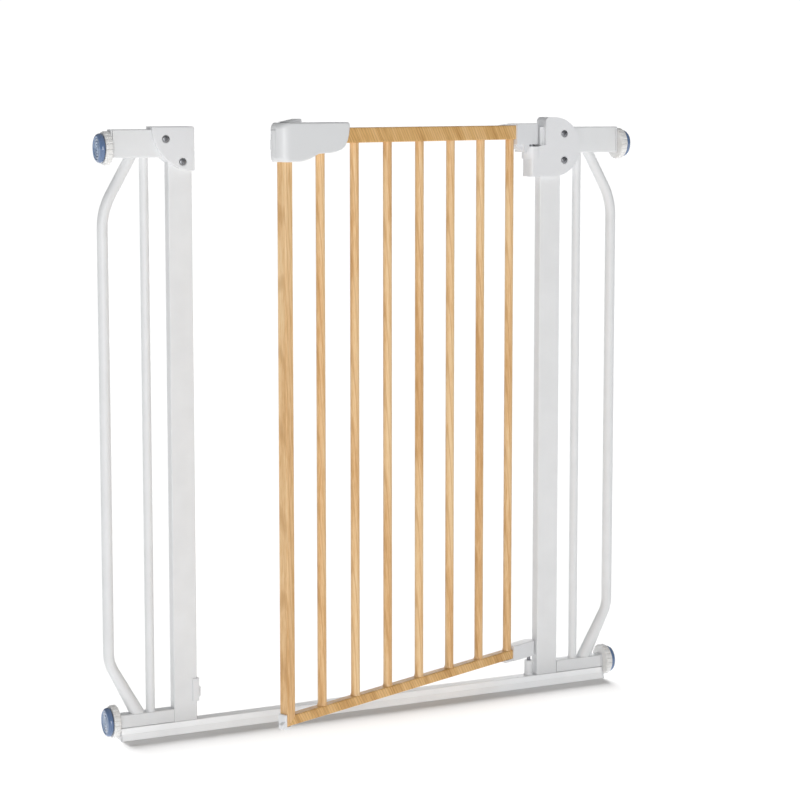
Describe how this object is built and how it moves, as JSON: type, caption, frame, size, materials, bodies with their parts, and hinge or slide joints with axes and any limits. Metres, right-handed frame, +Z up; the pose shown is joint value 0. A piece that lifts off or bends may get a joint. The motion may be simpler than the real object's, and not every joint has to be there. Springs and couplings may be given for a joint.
{
  "type": "safety baby gate",
  "caption": "Pressure-fit doorway gate: white steel frame with bent side tubes, handwheel wall pads, a threshold bar and a wood-look barred door on a lift-and-swing hinge.",
  "frame": {"origin": "on the floor under the threshold bar, in the middle of the clear opening between the posts and of the gate's depth", "axes": "+Z up; +X along the gate from the latch post to the hinge post; +Y away from the side that the door opens to"},
  "size_m": [0.7415, 0.2143, 0.7685],
  "materials": {
    "white_paint": "satin white powder coat",
    "oak_film": "light oak print film on steel tube",
    "white_plastic": "fine satin moulded",
    "grey_plastic": "pale grey satin moulded",
    "warm_white_plastic": "warm white moulded, ribbed rim",
    "pad_rubber": "smooth blue-grey with moulded rings",
    "screw_steel": "zinc plated"
  },
  "bodies": {
    "frame": {"threshold_bar": "white_paint", "threshold_cap_left": "white_plastic", "threshold_cap_right": "white_plastic", "post_left": "white_paint", "post_right": "white_paint", "top_rail_left": "white_paint", "top_rail_right": "white_paint", "bottom_rail_left": "white_paint", "bottom_rail_right": "white_paint", "straight_tube_left": "white_paint", "straight_tube_right": "white_paint", "bent_tube_left": "white_paint", "bent_tube_right": "white_paint", "rail_plug_top_left": "white_plastic", "rail_plug_top_right": "white_plastic", "rail_plug_bottom_left": "white_plastic", "rail_plug_bottom_right": "white_plastic", "keeper_cover_front": "white_plastic", "keeper_cover_back": "white_plastic", "keeper_screw_upper": "screw_steel", "keeper_screw_lower": "screw_steel", "hinge_cover_front": "white_plastic", "hinge_cover_back": "white_plastic", "hinge_screw_upper": "screw_steel", "hinge_screw_lower": "screw_steel", "lower_hinge_sleeve": "white_paint", "post_catch_clip": "white_plastic"},
    "hinge_pins": {"upper_hinge_pin": "screw_steel", "lower_hinge_pin": "screw_steel"},
    "door": {"door_top_rail": "oak_film", "door_bottom_rail": "oak_film", "door_free_stile": "oak_film", "door_hinge_bar": "oak_film", "door_bar_1": "oak_film", "door_bar_2": "oak_film", "door_bar_3": "oak_film", "door_bar_4": "oak_film", "door_bar_5": "oak_film", "door_bar_6": "oak_film", "hinge_arm": "white_plastic", "lower_hinge_bracket": "white_plastic", "door_lower_catch": "white_plastic", "handle_shell_front": "grey_plastic", "handle_shell_back": "grey_plastic"},
    "latch": {"latch_bolt": "grey_plastic", "thumb_slide": "grey_plastic"},
    "wheel_top_left": {"handwheel_top_left": "warm_white_plastic"},
    "spindle_top_left": {"spindle_top_left": "screw_steel", "wall_pad_top_left": "pad_rubber"},
    "wheel_top_right": {"handwheel_top_right": "warm_white_plastic"},
    "spindle_top_right": {"spindle_top_right": "screw_steel", "wall_pad_top_right": "pad_rubber"},
    "wheel_bottom_left": {"handwheel_bottom_left": "warm_white_plastic"},
    "spindle_bottom_left": {"spindle_bottom_left": "screw_steel", "wall_pad_bottom_left": "pad_rubber"},
    "wheel_bottom_right": {"handwheel_bottom_right": "warm_white_plastic"},
    "spindle_bottom_right": {"spindle_bottom_right": "screw_steel", "wall_pad_bottom_right": "pad_rubber"}
  },
  "joints": [
    {"name": "door_lift", "type": "slide", "parent": "frame", "child": "hinge_pins", "axis": [0, 0, 1], "range_m": [0, 0.008]},
    {"name": "door_swing", "type": "hinge", "parent": "hinge_pins", "child": "door", "pos_m": [0.2353, 0, 0], "axis": [0, 0, 1], "range_deg": [-22.5, 67.5]},
    {"name": "latch_slide", "type": "slide", "parent": "door", "child": "latch", "axis": [-0.9239, -0.3827, 0], "range_m": [0, 0.006]},
    {"name": "wheel_turn_top_left", "type": "hinge", "parent": "frame", "child": "wheel_top_left", "pos_m": [-0.351, 0, 0.7325], "axis": [-1, 0, 0], "range_deg": [0, 2880]},
    {"name": "spindle_travel_top_left", "type": "slide", "parent": "frame", "child": "spindle_top_left", "axis": [-1, 0, 0], "range_m": [0, 0.024]},
    {"name": "wheel_turn_top_right", "type": "hinge", "parent": "frame", "child": "wheel_top_right", "pos_m": [0.351, 0, 0.7325], "axis": [1, 0, 0], "range_deg": [0, 2880]},
    {"name": "spindle_travel_top_right", "type": "slide", "parent": "frame", "child": "spindle_top_right", "axis": [1, 0, 0], "range_m": [0, 0.024]},
    {"name": "wheel_turn_bottom_left", "type": "hinge", "parent": "frame", "child": "wheel_bottom_left", "pos_m": [-0.351, 0, 0.02305], "axis": [-1, 0, 0], "range_deg": [0, 2880]},
    {"name": "spindle_travel_bottom_left", "type": "slide", "parent": "frame", "child": "spindle_bottom_left", "axis": [-1, 0, 0], "range_m": [0, 0.024]},
    {"name": "wheel_turn_bottom_right", "type": "hinge", "parent": "frame", "child": "wheel_bottom_right", "pos_m": [0.351, 0, 0.02305], "axis": [1, 0, 0], "range_deg": [0, 2880]},
    {"name": "spindle_travel_bottom_right", "type": "slide", "parent": "frame", "child": "spindle_bottom_right", "axis": [1, 0, 0], "range_m": [0, 0.024]}
  ],
  "couplings": [
    {"joint": "spindle_travel_top_left", "follows": "wheel_turn_top_left", "m_per_rad": 0.00047746},
    {"joint": "spindle_travel_top_right", "follows": "wheel_turn_top_right", "m_per_rad": 0.00047746},
    {"joint": "spindle_travel_bottom_left", "follows": "wheel_turn_bottom_left", "m_per_rad": 0.00047746},
    {"joint": "spindle_travel_bottom_right", "follows": "wheel_turn_bottom_right", "m_per_rad": 0.00047746}
  ]
}
